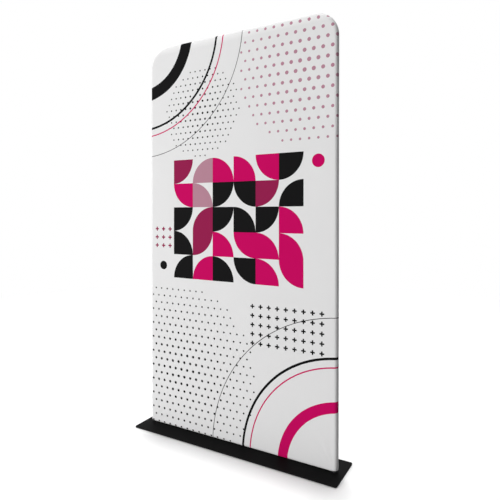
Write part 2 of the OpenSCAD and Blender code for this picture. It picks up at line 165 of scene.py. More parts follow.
class Graph:
    """Short ways to add and join the nodes of one shader tree."""

    MIX_FACTOR, MIX_LOW, MIX_HIGH, MIX_RESULT = 0, 6, 7, 2

    def __init__(self, tree: bpy.types.NodeTree) -> None:
        """Keeps the tree. A node group's graph is given its inputs afterwards."""
        self.tree = tree
        self.given: list[Value] = []

    @classmethod
    def of(cls, owner: bpy.types.Material | bpy.types.World) -> Self:
        """Empties the tree of a material or a world.

        Args:
            owner: the material or the world.

        Returns:
            The tree's graph.
        """
        owner.use_nodes = True
        owner.node_tree.nodes.clear()
        return cls(owner.node_tree)

    def node(self, kind: str, **settings: object) -> bpy.types.Node:
        """Adds one node.

        Args:
            kind: the node's type name.
            settings: properties to set on it.

        Returns:
            The new node.
        """
        made = self.tree.nodes.new(kind)
        for name, value in settings.items():
            setattr(made, name, value)
        return made

    def feed(self, socket: bpy.types.NodeSocket, value: object) -> None:
        """Joins an input to an output, or sets it. A plain colour gets its alpha here.

        Args:
            socket: the input.
            value: a Value, a number or three numbers.
        """
        if isinstance(value, Value):
            self.tree.links.new(value.socket, socket)
        else:
            socket.default_value = (*value, 1.0) if socket.type == "RGBA" else value

    def fed(self, kind: str, inputs: dict[int | str, object], output: int | str = 0,
            **settings: object) -> Value:
        """Adds a node and feeds it.

        Args:
            kind: the node's type name.
            inputs: what feeds its inputs, by their numbers or names.
            output: the number or name of the output that is wanted.
            settings: properties to set on it.

        Returns:
            That output.
        """
        made = self.node(kind, **settings)
        for name, value in inputs.items():
            self.feed(made.inputs[name], value)
        return Value(self, made.outputs[output])

    def math(self, operation: str, *values: object, clamp: bool = False) -> Value:
        """A Math node's result, kept from 0 to 1 if it is to be clamped."""
        return self.fed("ShaderNodeMath", dict(enumerate(values)), operation=operation, use_clamp=clamp)

    def vector(self, operation: str, *values: object) -> Value:
        """A Vector Math node's result: a number for LENGTH and DISTANCE, or else a vector."""
        output = "Value" if operation in ("LENGTH", "DISTANCE") else "Vector"
        return self.fed("ShaderNodeVectorMath", dict(enumerate(values)), output, operation=operation)

    def parts(self, vector: Value) -> list[Value]:
        """A vector's three numbers."""
        whole = self.fed("ShaderNodeSeparateXYZ", {0: vector})
        return [whole.beside(part) for part in "XYZ"]

    def joined(self, *numbers: object) -> Value:
        """A vector from two or three numbers."""
        return self.fed("ShaderNodeCombineXYZ", dict(enumerate(numbers)))

    def mixed(self, factor: object, low: object, high: object) -> Value:
        """A colour: low where the factor is 0, and high where it is 1."""
        inputs = {self.MIX_FACTOR: factor, self.MIX_LOW: low, self.MIX_HIGH: high}
        return self.fed("ShaderNodeMix", inputs, self.MIX_RESULT, data_type="RGBA")

    def noise(self, point: Value, scale: object, detail: float) -> Value:
        """Smooth noise about 0.5, with so many features to a metre and so many finer layers."""
        return self.fed("ShaderNodeTexNoise", {"Vector": point, "Scale": scale, "Detail": detail})

    def end(self, kind: str, surface: Value) -> None:
        """Ends the tree in an output node of a kind."""
        self.feed(self.node(kind).inputs["Surface"], surface)


class Effect:
    """A node group that several finishes share, built when it is first used.

    It decorates the function that draws it. That function takes the group's graph, whose given
    values are a point and the group's numbers, and gives back one value for each output.
    """

    def __init__(self, *outputs: str, **numbers: float) -> None:
        """Keeps the outputs' names, and the numbers' names and defaults, with underscores for spaces."""
        self.outputs, self.numbers = outputs, numbers

    def __call__(self, draw: Callable[[Graph], Value | tuple[Value, ...]]) -> "Effect":
        """Keeps the function that draws the group."""
        self.draw = draw
        return self

    @functools.cached_property
    def tree(self) -> bpy.types.NodeTree:
        """Builds the group.

        Returns:
            The group's tree.
        """
        tree = bpy.data.node_groups.new(self.draw.__name__, "ShaderNodeTree")
        face = tree.interface
        face.new_socket("Point", in_out="INPUT", socket_type="NodeSocketVector")
        for name, default in self.numbers.items():
            number = face.new_socket(name.replace("_", " "), in_out="INPUT", socket_type="NodeSocketFloat")
            number.default_value = default
        for name in self.outputs:
            face.new_socket(name, in_out="OUTPUT", socket_type="NodeSocketFloat")
        graph = Graph(tree)
        given = graph.node("NodeGroupInput").outputs
        graph.given = [Value(graph, given[place]) for place in range(len(self.numbers) + 1)]
        drawn = self.draw(graph)
        ends = graph.node("NodeGroupOutput").inputs
        for end, value in zip(ends, drawn if isinstance(drawn, tuple) else (drawn,)):
            graph.feed(end, value)
        return tree


class Paint(Graph):
    """A material's graph with its Principled shader."""

    def __init__(self, tree: bpy.types.NodeTree) -> None:
        """Adds the shader and the output.

        Args:
            tree: the material's emptied tree.
        """
        super().__init__(tree)
        self.shader = self.node("ShaderNodeBsdfPrincipled")
        self.end("ShaderNodeOutputMaterial", Value(self, self.shader.outputs[0]))

    @functools.cached_property
    def point(self) -> Value:
        """Where the effects are read: at the object's own coordinates, unless a finish sets others."""
        return self.fed("ShaderNodeTexCoord", {}, "Object")

    def effect(self, shared: Effect, **inputs: object) -> Value:
        """A shared effect's first output, with its inputs by name and underscores for spaces."""
        named = {name.replace("_", " "): value for name, value in inputs.items()}
        return self.fed("ShaderNodeGroup", {"Point": self.point, **named}, node_tree=shared.tree)

    def shade(self, **inputs: object) -> None:
        """Feeds the shader's inputs by name, with underscores for spaces."""
        for name, value in inputs.items():
            self.feed(self.shader.inputs[name.replace("_", " ")], value)

    def colour(self, colour: object, factor: Value) -> None:
        """Feeds the shader a colour that is made lighter or darker by a factor."""
        toned = self.fed("ShaderNodeVectorMath", {0: colour, "Scale": factor}, operation="SCALE")
        self.shade(Base_Color=toned)

    def bump(self, height: Value, depth: float, strength: float) -> None:
        """Feeds the shader's normal from a height whose 1 stands so many metres above its 0."""
        inputs = {"Strength": strength, "Distance": depth, "Height": height}
        self.shade(Normal=self.fed("ShaderNodeBump", inputs))


# ---------------------------------------------------------------- shared effects

SOFT_EDGE = 0.25 * MM


@Effect("Factor", Scale=3.0, Amount=0.05)
def cloudy(group: Graph) -> Value:
    """Slow, faint change of tone over a surface, as a factor near 1."""
    point, scale, amount = group.given
    return (group.noise(point, scale, detail=3.0) - 0.5) * amount * 2.0 + 1.0


@Effect("Height", Scale=900.0, Coarse=0.5)
def grainy(group: Graph) -> Value:
    """Fine irregular grain, as on powder coat, moulded nylon and rubber: fine noise mixed with broad.

    Args:
        group: the group's graph.

    Returns:
        A height from 0 to 1.
    """
    point, scale, coarse = group.given
    broader = 0.2
    fine = group.noise(point, scale, detail=3.0)
    broad = group.noise(point, scale * broader, detail=1.0)
    return fine + (broad - fine) * coarse


@Effect("Mask", Scale=9.0, Spread=0.5)
def handled(group: Graph) -> Value:
    """Smudges and light rubbing, where hands and floors have touched a surface.

    Broad noise with some fine noise in it shows where it rises over a limit, which the spread lowers.

    Args:
        group: the group's graph.

    Returns:
        A mask that is mostly 0.
    """
    point, scale, spread = group.given
    finer, fine_share, highest_limit, lowered, contrast = 11.0, 0.3, 0.72, 0.3, 6.0
    broad = group.noise(point, scale, detail=4.0)
    fine = group.noise(point, scale * finer, detail=3.0)
    smudges = broad * (1.0 - fine_share) + fine * fine_share
    limit = highest_limit - spread * lowered
    return group.math("MULTIPLY", smudges - limit, contrast, clamp=True)


@Effect("Height", Pitch=0.7 * MM)
def knitted(group: Graph) -> Value:
    """A fine knit: columns of loops whose arms lean to the left and right in turn.

    A wave across makes the columns. A wave up, which that one's slope shifts, makes the leaning rows.

    Args:
        group: the group's graph.

    Returns:
        The yarn's height from 0 to 1.
    """
    point, pitch = group.given
    rows_to_column, slant = 1.3, 2.2
    across, up, _ = group.parts(point)
    turn = math.tau / pitch
    column = group.math("COSINE", across * turn)
    lean = abs(group.math("SINE", across * turn))
    row = group.math("SINE", up * (turn * rows_to_column) + lean * slant)
    return column * 0.25 + row * 0.25 + 0.5


@Effect("Height", Pitch=0.5 * MM)
def woven(group: Graph) -> Value:
    """A plain weave: threads pass over and under each other, as the product of two waves.

    Args:
        group: the group's graph.

    Returns:
        The thread's height from 0 to 1.
    """
    point, pitch = group.given
    x, y, z = group.parts(point)
    warp, weft = (group.math("SINE", way * (math.tau / pitch)) for way in (x + y, z))
    return warp * weft * 0.5 + 0.5


@Effect("Lines", Scale=2500.0)
def drawn(group: Graph) -> Value:
    """The fine parallel lines of drawn metal, read at a point that is squeezed along them."""
    return group.noise(*group.given, detail=2.0)


@Effect("Mask", Across=0.0, Up=0.0, Radius=0.1)
def disc(group: Graph) -> Value:
    """A filled circle of ink."""
    point, across, up, radius = group.given
    return group.vector("DISTANCE", point, group.joined(across, up)).below(radius, SOFT_EDGE)


@Effect("Mask", Across=0.0, Up=0.0, Radius=0.1, Width=0.002)
def arc(group: Graph) -> Value:
    """A circular line of ink, which the panel's edge cuts to an arc.

    Args:
        group: the group's graph.

    Returns:
        1 on the line.
    """
    point, across, up, radius, width = group.given
    off = group.vector("DISTANCE", point, group.joined(across, up)) - radius
    return abs(off).below(width * 0.5, SOFT_EDGE)


@Effect("Mask", Across=0.0, Up=0.0, Reach=0.3, Pitch=0.03, Largest=0.008, Smallest=0.002)
def halftone(group: Graph) -> Value:
    """A round field of dots in staggered rows, which shrink from the middle outwards.

    Args:
        group: the group's graph.

    Returns:
        1 on the dots.
    """
    point, across, up, reach, pitch, largest, smallest = group.given
    x, y, _ = group.parts(point)
    row = group.math("FLOOR", y / pitch)
    stagger = row % 2.0 * 0.5
    column = group.math("FLOOR", x / pitch + stagger) + 0.5 - stagger
    dot = group.joined(column * pitch, (row + 0.5) * pitch)
    out_by = group.vector("DISTANCE", dot, group.joined(across, up)) / reach
    off = group.vector("DISTANCE", group.joined(x, y), dot)
    return off.below(out_by.between(largest, smallest), SOFT_EDGE) * (out_by < 1.0)


@Effect("Mask", Across=0.0, Up=0.0, Half_Width=0.1, Half_Height=0.1, Pitch=0.05, Arm=0.0125, Width=0.008)
def crosses(group: Graph) -> Value:
    """An upright block of small plus signs.

    Args:
        group: the group's graph.

    Returns:
        1 on the signs.
    """
    point, across, up, half_width, half_height, pitch, arm, width = group.given
    x, y, _ = group.parts(point)
    offs, inside = [], []
    for away, reach in ((x - across, half_width), (y - up, half_height)):
        offs.append(abs((away + pitch * 0.5) % pitch - pitch * 0.5))
        inside.append(abs(away) < reach)
    thin, long = ([off.below(limit, SOFT_EDGE) for off in offs] for limit in (width * 0.5, arm))
    return group.math("MAXIMUM", thin[0] * long[1], thin[1] * long[0]) * inside[0] * inside[1]


@Effect("Mask", "Ink", Across=0.0, Up=0.0, Tile=0.15, Columns=4.0, Rows=4.0, Draw=0.0)
def tiles(group: Graph) -> tuple[Value, Value]:
    """A block of square tiles, each filled by a quarter of a disc from one of its corners.

    Chance numbers of each tile's own place say which corner and which ink it has.

    Args:
        group: the group's graph.

    Returns:
        1 on the quarter discs, and each tile's ink as a number from 0 to 1.
    """
    point, across, up, tile, columns, rows, draw = group.given
    x, y, _ = group.parts(point)
    places, inside = [], []
    for away, count in (((x - across) / tile, columns), ((y - up) / tile, rows)):
        places.append(away + count * 0.5)
        inside.append(abs(away) < count * 0.5)
    cell = [group.math("FLOOR", place) for place in places]
    within = group.joined(*(place - low for place, low in zip(places, cell)))
    chance = group.fed("ShaderNodeTexWhiteNoise", {"Vector": group.joined(*cell, draw)}, "Color")
    right, upper, ink = group.parts(chance)
    away = group.vector("DISTANCE", within, group.joined(right > 0.5, upper > 0.5))
    return (away * tile).below(tile, SOFT_EDGE) * inside[0] * inside[1], ink


# ---------------------------------------------------------------- finishes


@dataclass(frozen=True)
class Finish:
    """What every finish shares: a name, and a material that is built when it is first asked for."""

    name: str

    @functools.cached_property
    def material(self) -> bpy.types.Material:
        """Makes the material.

        Returns:
            The material.
        """
        made = bpy.data.materials.new(self.name)
        self.dress(Paint.of(made))
        return made

    def dress(self, paint: Paint) -> None:
        """Feeds the shader. Each finish has its own way."""
        raise NotImplementedError


@dataclass(frozen=True)
class StretchCloth(Finish):
    """Knitted stretch polyester, whose pattern follows the flat cut that the UV map holds.

    The map's unit square starts at cut_low on the flat cut, and is cut_span wide and high. Between
    two heights under the top rail the ground is painted paler, a painted highlight for the light along
    the top edge. The print is a table of motifs, with inks and places.
    """

    ground: TRIPLE
    printed: bool
    cut_span: float
    cut_low: PAIR
    painted_highlight_band: PAIR
    # how much paler the painted highlight makes the colour, and how wide it fades out at the top
    painted_highlight_lift: float = 0.13
    painted_highlight_fade: float = 4.0 * MM
    knit_pitch: float = 0.9 * MM
    knit_depth: float = 0.12 * MM
    knit_tones: PAIR = (0.965, 1.02)
    roughness: PAIR = (0.92, 0.78)

    BLACK = (0.0062, 0.0060, 0.0064)
    MAGENTA = (0.59, 0.0014, 0.116)
    WINE = (0.30, 0.0140, 0.076)
    ROSE = (0.475, 0.24, 0.31)
    UPPER_LEFT = {"Across": -0.66, "Up": 2.36}
    LOWER_RIGHT = {"Across": 0.66, "Up": -0.02}
    UPPER_DOTS = dict(Reach=0.41, Pitch=0.050, Largest=0.0115, Smallest=0.0065)
    MIDDLE_DOTS = dict(Reach=0.26, Pitch=0.035, Largest=0.0070, Smallest=0.0042)
    LOWER_DOTS = dict(Reach=0.52, Pitch=0.043, Largest=0.0088, Smallest=0.0048)
    MOTIFS = (
        (halftone, ROSE, dict(UPPER_DOTS, Across=0.44, Up=2.05)),
        (halftone, BLACK, dict(MIDDLE_DOTS, Across=-0.22, Up=1.88)),
        (halftone, BLACK, dict(LOWER_DOTS, Across=-0.38, Up=0.36)),
        (crosses, BLACK, dict(Across=0.32, Up=0.69, Half_Width=0.225, Half_Height=0.125)),
        (crosses, WINE, dict(Across=-0.50, Up=1.15, Half_Width=0.075, Half_Height=0.075)),
        (arc, BLACK, dict(UPPER_LEFT, Radius=0.55, Width=0.013)),
        (arc, MAGENTA, dict(UPPER_LEFT, Radius=0.595, Width=0.007)),
        (arc, BLACK, dict(UPPER_LEFT, Radius=0.72, Width=0.0036)),
        (arc, BLACK, dict(UPPER_LEFT, Radius=0.34, Width=0.075)),
        (arc, BLACK, dict(LOWER_RIGHT, Radius=0.60, Width=0.013)),
        (arc, MAGENTA, dict(LOWER_RIGHT, Radius=0.555, Width=0.007)),
        (arc, BLACK, dict(LOWER_RIGHT, Radius=0.80, Width=0.0036)),
        (arc, MAGENTA, dict(LOWER_RIGHT, Radius=0.36, Width=0.055)),
        (disc, MAGENTA, dict(Across=0.50, Up=1.56, Radius=0.034)),
        (disc, BLACK, dict(Across=-0.50, Up=0.98, Radius=0.026)),
    )
    TILED = dict(Across=0.0, Up=1.26, Tile=0.14, Columns=6.0, Rows=5.0, Draw=1.0)
    TILE_INKS = ((0.93, WINE), (0.78, MAGENTA), (0.44, BLACK))

    def dress(self, paint: Paint) -> None:
        """Prints the cloth, or leaves it plain, over a knit with faint uneven tone.

        Under the top rail the colour is painted paler, a painted highlight for the light along the top edge.

        Args:
            paint: the cloth's graph.
        """
        uv = paint.fed("ShaderNodeUVMap", {}, uv_map="cut")
        span, start = (self.cut_span, self.cut_span, 0.0), (*self.cut_low, 0.0)
        paint.point = paint.vector("MULTIPLY_ADD", uv, span, start)
        knit = paint.effect(knitted, Pitch=self.knit_pitch)
        cloud = paint.effect(cloudy, Scale=2.2, Amount=0.02)
        # painted highlight: the colour grows paler up to the top rail, and fades back out over the rolled
        # edge
        _, up, _ = paint.parts(paint.point)
        low, high = self.painted_highlight_band
        painted_highlight = paint.math("DIVIDE", up - low, high - low, clamp=True)
        painted_highlight = painted_highlight * up.below(high + self.painted_highlight_fade, self.painted_highlight_fade)
        # tone holds the painted highlight as well as the random cloud and the knit
        tone = cloud * painted_highlight.between(1.0, 1.0 + self.painted_highlight_lift) * knit.between(*self.knit_tones)
        paint.colour(self.printed_on(paint) if self.printed else self.ground, tone)
        paint.shade(Roughness=knit.between(*self.roughness), Specular_IOR_Level=0.06)
        paint.shade(Sheen_Weight=0.02, Sheen_Roughness=0.5)
        paint.bump(knit, self.knit_depth, strength=0.35)

    def printed_on(self, paint: Paint) -> Value:
        """Lays the inks of a plain geometric design over the ground, one after another.

        Args:
            paint: the cloth's graph.

        Returns:
            The printed colour.
        """
        colour = self.ground
        for motif, ink, sizes in self.MOTIFS:
            colour = paint.mixed(paint.effect(motif, **sizes), colour, ink)
        mask = paint.effect(tiles, **self.TILED)
        chosen = self.ROSE
        for limit, ink in self.TILE_INKS:
            chosen = paint.mixed(mask.beside("Ink") < limit, chosen, ink)
        return paint.mixed(mask, colour, chosen)


@dataclass(frozen=True)
class PowderCoat(Finish):
    """Fine-textured powder coat on sheet steel, a little scuffed."""

    colour: TRIPLE
    worn: TRIPLE
    roughness: PAIR
    worn_roughness: float = 0.08
    grain_depth: float = 0.08 * MM

    def dress(self, paint: Paint) -> None:
        """Fine pebbled bump, faint clouds and scuffs that are paler and rougher.

        Args:
            paint: the material's graph.
        """
        grain = paint.effect(grainy, Scale=1100.0, Coarse=0.4)
        rubbed = paint.effect(handled, Scale=7.0, Spread=0.35)
        cloud = paint.effect(cloudy, Scale=6.0, Amount=0.10)
        paint.colour(paint.mixed(rubbed, self.colour, self.worn), cloud)
        paint.shade(Roughness=grain.between(*self.roughness) + rubbed * self.worn_roughness)
        paint.shade(Specular_IOR_Level=0.02)
        paint.bump(grain, self.grain_depth, strength=0.5)


@dataclass(frozen=True)
class Moulded(Finish):
    """Moulded nylon or rubber with a fine spark-eroded grain."""

    colour: TRIPLE
    roughness: PAIR
    grain_depth: float

    def dress(self, paint: Paint) -> None:
        """Grain in the bump and the gloss, and a slow change of tone.

        Args:
            paint: the material's graph.
        """
        grain = paint.effect(grainy, Scale=1500.0, Coarse=0.25)
        paint.colour(self.colour, paint.effect(cloudy, Scale=18.0, Amount=0.07))
        paint.shade(Roughness=grain.between(*self.roughness), Specular_IOR_Level=0.4)
        paint.bump(grain, self.grain_depth, strength=0.6)


@dataclass(frozen=True)
class BareMetal(Finish):
    """Plated, anodised or mill-finished metal, with its drawing lines and finger marks."""

    colour: TRIPLE
    roughness: PAIR
    grain: Grain
    marks: float
    marked_roughness: float = 0.12
    line_depth: float = 0.02 * MM
    line_tones: PAIR = (0.94, 1.04)

    def dress(self, paint: Paint) -> None:
        """Drawn lines in the gloss and bump, and marks that dull it.

        Args:
            paint: the material's graph.
        """
        squeezed = paint.vector("MULTIPLY", paint.point, self.grain.value)
        lines = paint.effect(drawn, Point=squeezed, Scale=2500.0)
        marked = paint.effect(handled, Scale=24.0, Spread=self.marks)
        cloud = paint.effect(cloudy, Scale=12.0, Amount=0.05)
        paint.colour(self.colour, cloud * lines.between(*self.line_tones))
        paint.shade(Roughness=lines.between(*self.roughness) + marked * self.marked_roughness, Metallic=1.0)
        paint.bump(lines, self.line_depth, strength=0.3)


@dataclass(frozen=True)
class TapeWeave(Finish):
    """Woven polyester: zip tape and sewing thread."""

    colour: TRIPLE
    pitch: float
    roughness: PAIR = (0.9, 0.7)
    thread_depth: float = 0.15 * MM
    thread_tones: PAIR = (0.86, 1.04)

    def dress(self, paint: Paint) -> None:
        """A plain weave in the tone, the gloss and the bump.

        Args:
            paint: the material's graph.
        """
        weave = paint.effect(woven, Pitch=self.pitch)
        cloud = paint.effect(cloudy, Scale=30.0, Amount=0.04)
        paint.colour(self.colour, cloud * weave.between(*self.thread_tones))
        paint.shade(Roughness=weave.between(*self.roughness), Specular_IOR_Level=0.25)
        paint.bump(weave, self.thread_depth, strength=0.6)


# ---------------------------------------------------------------- meshes and pieces


def placed(name: str, data: bpy.types.ID) -> bpy.types.Object:
    """Puts a mesh, a lamp or a camera in the scene.

    Args:
        name: the new object's name.
        data: what it holds.

    Returns:
        The object, at the origin.
    """
    made = bpy.data.objects.new(name, data)
    bpy.context.scene.collection.objects.link(made)
    return made


@contextlib.contextmanager
def edited(mesh: bpy.types.Mesh) -> Iterator[bmesh.types.BMesh]:
    """Opens a mesh for editing, and writes it back afterwards.

    Args:
        mesh: the mesh.

    Yields:
        Its form that bmesh's tools work on.
    """
    worked = bmesh.new()
    worked.from_mesh(mesh)
    yield worked
    worked.to_mesh(mesh)
    worked.free()


def piece_from(name: str, points: np.ndarray, faces: np.ndarray, material: bpy.types.Material,
               uv: np.ndarray | None = None) -> bpy.types.Object:
    """Makes a smooth piece from arrays.

    Args:
        name: the piece's name.
        points: one row of X, Y and Z to a vertex.
        faces: one row of vertex numbers to a face, all with as many corners.
        material: what it is made of.
        uv: one row of two numbers to a vertex, or nothing.

    Returns:
        The new object, at the origin.
    """
    mesh = bpy.data.meshes.new(name)
    count, corners = faces.shape
    mesh.vertices.add(len(points))
    mesh.vertices.foreach_set("co", points.astype(np.float32).ravel())
    mesh.loops.add(count * corners)
    mesh.loops.foreach_set("vertex_index", faces.astype(np.int32).ravel())
    mesh.polygons.add(count)
    mesh.polygons.foreach_set("loop_start", np.arange(0, count * corners, corners, dtype=np.int32))
    mesh.polygons.foreach_set("loop_total", np.full(count, corners, dtype=np.int32))
    mesh.update(calc_edges=True)
    mesh.shade_smooth()
    if uv is not None:
        layer = mesh.uv_layers.new(name="cut")
        layer.data.foreach_set("uv", uv[faces.ravel()].astype(np.float32).ravel())
    mesh.materials.append(material)
    return placed(name, mesh)


def grid_quads(rows: int, columns: int, closed: bool = False) -> np.ndarray:
    """The faces of a grid of points that is numbered row by row.

    Args:
        rows: how many rows of points there are.
        columns: how many points a row has.
        closed: whether the last row joins the first.

    Returns:
        One row of four numbers to a face, turning from the row's way to the column's.
    """
    row = np.arange(rows if closed else rows - 1)[:, None]
    column = np.arange(columns - 1)[None, :]
    here, beyond = row * columns + column, ((row + 1) % rows) * columns + column
    return np.stack([here, here + 1, beyond + 1, beyond], axis=-1).reshape(-1, 4)


def bevelled_copy(node: str, width: float, finish: Finish) -> bpy.types.Object:
    """Copies a construction node and breaks its sharp edges, which a real part never has.

    Args:
        node: the node's name.
        width: the bevel's width.
        finish: what it is made of.

    Returns:
        The copy, which replaces the node.
    """
    mesh = frame["nodes"][node].data.copy()
    with edited(mesh) as worked:
        bmesh.ops.remove_doubles(worked, verts=worked.verts, dist=SAME_CORNER)
        bmesh.ops.dissolve_limit(worked, angle_limit=FLAT_ANGLE, verts=worked.verts, edges=worked.edges)
    mesh.shade_smooth()
    mesh.materials.clear()
    mesh.materials.append(finish.material)
    made = placed(f"{node}_eased", mesh)
    bevel = made.modifiers.new("eased_edges", "BEVEL")
    bevel.limit_method = "ANGLE"
    bevel.angle_limit = SHARP_ANGLE
    bevel.width = width
    bevel.segments = 2
    made.modifiers.new("flat_faces", "WEIGHTED_NORMAL").weight = 100
    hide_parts(node)
    return made


def report(piece: bpy.types.Object, body: str) -> None:
    """Puts a piece on its body, and logs it.

    Args:
        piece: the piece.
        body: the body that it moves with.
    """
    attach(piece, body)
    log.info("%s rides on %s: %d vertices", piece.name, body, len(piece.data.vertices))


def nodes_named(*starts: str) -> list[str]:
    """The construction's nodes whose names start in one of these ways, in order."""
    return [name for name in sorted(frame["nodes"]) if name.startswith(starts)]


def dress_nodes(finish: Finish, *starts: str) -> None:
    """Gives a finish to the construction's own nodes.

    Args:
        finish: the finish.
        starts: what the nodes' names start with.
    """
    names = nodes_named(*starts)
    for name in names:
        for slot in frame["nodes"][name].material_slots:
            slot.material = finish.material
    log.info("%s: %d nodes", finish.name, len(names))


# ---------------------------------------------------------------- base and frame


@dataclass
class BaseStand:
    """The flat steel base: plate, rubber feet, pins and the screws that hold them."""

    plate_bevel: float = 0.7 * MM
    foot_bevel: float = 0.3 * MM
    pin_bevel: float = 0.4 * MM

    COAT = PowderCoat("powder_coat_black", colour=(0.0065, 0.0065, 0.0067),
                      worn=(0.0125, 0.0125, 0.0128), roughness=(0.50, 0.64))
    RUBBER = Moulded("foot_rubber", colour=(0.018, 0.018, 0.018),
                     roughness=(0.75, 0.9), grain_depth=0.1 * MM)
    ZINC = BareMetal("bright_zinc", colour=(0.60, 0.61, 0.64),
                     roughness=(0.22, 0.36), grain=Grain.NONE, marks=0.5)
    OXIDE = BareMetal("black_oxide", colour=(0.055, 0.055, 0.06),
                      roughness=(0.35, 0.5), grain=Grain.NONE, marks=0.4)

    def build(self) -> None:
        """Makes the base's pieces with eased edges, and dresses its screws."""
        for node, width, finish, slot in (
            ("base_plate", self.plate_bevel, self.COAT, "plate_black"),
            ("base_feet", self.foot_bevel, self.RUBBER, "foot_rubber"),
            ("base_pin_left", self.pin_bevel, self.ZINC, "zinc"),
            ("base_pin_right", self.pin_bevel, self.ZINC, "zinc"),
        ):
            report(bevelled_copy(node, width, finish), "base")
        dress_nodes(self.OXIDE, "base_screws")


@dataclass
class TubeFrame:
    """The tubes, connectors and snap buttons inside the cover."""

    strip: float = 0.8 * MM
    leg_reach: float = 7.4 * MM
    strip_edge: float = 0.12 * MM

    TUBE_UPRIGHT = BareMetal("satin_tube_upright", colour=(0.72, 0.73, 0.75),
                             roughness=(0.28, 0.42), grain=Grain.ALONG_Z, marks=0.45)
    TUBE_LEVEL = BareMetal("satin_tube_level", colour=(0.72, 0.73, 0.75),
                           roughness=(0.28, 0.42), grain=Grain.ALONG_X, marks=0.45)
    NYLON = Moulded("black_nylon", colour=(0.013, 0.013, 0.014),
                    roughness=(0.38, 0.55), grain_depth=0.06 * MM)
    SLEEVE = BareMetal("mill_aluminium", colour=(0.66, 0.67, 0.68),
                       roughness=(0.30, 0.48), grain=Grain.ALONG_Z, marks=0.5)
    SPRING = BareMetal("spring_steel", colour=(0.50, 0.51, 0.53),
                       roughness=(0.22, 0.34), grain=Grain.NONE, marks=0.3)
    NICKEL = BareMetal("nickel_plate", colour=(0.70, 0.69, 0.66),
                       roughness=(0.12, 0.24), grain=Grain.NONE, marks=0.4)

    def build(self) -> None:
        """Dresses the frame's nodes by what each is made of, and makes the springs."""
        dress_nodes(self.TUBE_LEVEL, *RAILS)
        dress_nodes(self.TUBE_UPRIGHT, *UPRIGHTS)
        dress_nodes(self.NYLON, "tee_", "bottom_corner_")
        dress_nodes(self.SLEEVE, "post_connector_", "rail_connector_", "rivets")
        dress_nodes(self.NICKEL, "button_")
        for joint in frame["joints"]:
            if joint["name"].startswith("press_"):
                self.bent_spring(joint)

    def bent_spring(self, joint: dict) -> None:
        """One strip spring, copied from its node with eased edges, with its place baked into its mesh.

        Args:
            joint: the button's joint.
        """
        node = joint["child"].replace("button", "spring")
        made = bevelled_copy(node, self.strip_edge, self.SPRING)
        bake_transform(made)
        log.info("%s bends from %s to %s", made.name, joint["parent"], joint["child"])


# ---------------------------------------------------------------- cover


def smooth(t: np.ndarray) -> np.ndarray:
    """A smooth step: 0 below 0, 1 above 1, and 3t^2 - 2t^3 between."""
    t = np.clip(t, 0, 1)
    return t * t * (3 - 2 * t)


def swell(t: np.ndarray) -> np.ndarray:
    """A squared sine that grows from 0 to 1 as t does, and is level beyond."""
    return np.sin(np.clip(t, 0, 1) * QUARTER) ** 2


def evenly(reach: float, pitch: float) -> np.ndarray:
    """Places from -reach to reach, about a pitch apart, at the middles of equal steps."""
    count = round(2 * reach / pitch)
    return (np.arange(count) + 0.5) / count * 2 * reach - reach


def grid_lines(low: float, high: float, spacing: float, fine: Callable[[np.ndarray], np.ndarray],
               exact: np.ndarray, closest: float) -> np.ndarray:
    """Even grid lines, twice as many where the grid is fine, among some exact ones.

    Args:
        low: the first line.
        high: the last line.
        spacing: how far apart the even lines are.
        fine: which of some places lie where the grid is fine.
        exact: lines that have to be there.
        closest: how near an even line may come to an exact one.

    Returns:
        All lines, in order.
    """
    even = np.linspace(low, high, int((high - low) / spacing) + 1)
    halfway = (even[1:] + even[:-1]) / 2
    even = np.union1d(even, halfway[fine(halfway)])
    gap = np.abs(even[:, None] - exact).min(axis=1, initial=np.inf)
    ends = (even == even[0]) | (even == even[-1])
    return np.union1d(even[(gap > closest) | ends], exact)


@dataclass(frozen=True)
class EdgeLine:
    """Places on a line in the banner's plane, and the outward directions there, one row each."""

    places: np.ndarray
    outward: np.ndarray

    def kept(self, mask: np.ndarray) -> "EdgeLine":
        """The places that a mask keeps."""
        return EdgeLine(self.places[mask], self.outward[mask])

    def evened(self, radius: float, pitch: float) -> "EdgeLine":
        """Even steps round a closed line.

        Args:
            radius: how far outside the line the steps are measured.
            pitch: the step's length.

        Returns:
            The line at each step.
        """
        edge = self.places + self.outward * radius
        ring = np.concatenate([edge, edge[:1]])
        way = np.concatenate([[0], np.cumsum(np.hypot(*np.diff(ring, axis=0).T))])
        at = np.linspace(0, way[-1], int(way[-1] / pitch) + 1)[:-1]
        columns = (*self.places.T, *self.outward.T)
        steps = np.stack([np.interp(at, way, np.append(column, column[0])) for column in columns], axis=1)
        length = np.linalg.norm(steps[:, 2:], axis=1, keepdims=True)
        return EdgeLine(steps[:, :2], steps[:, 2:] / length)


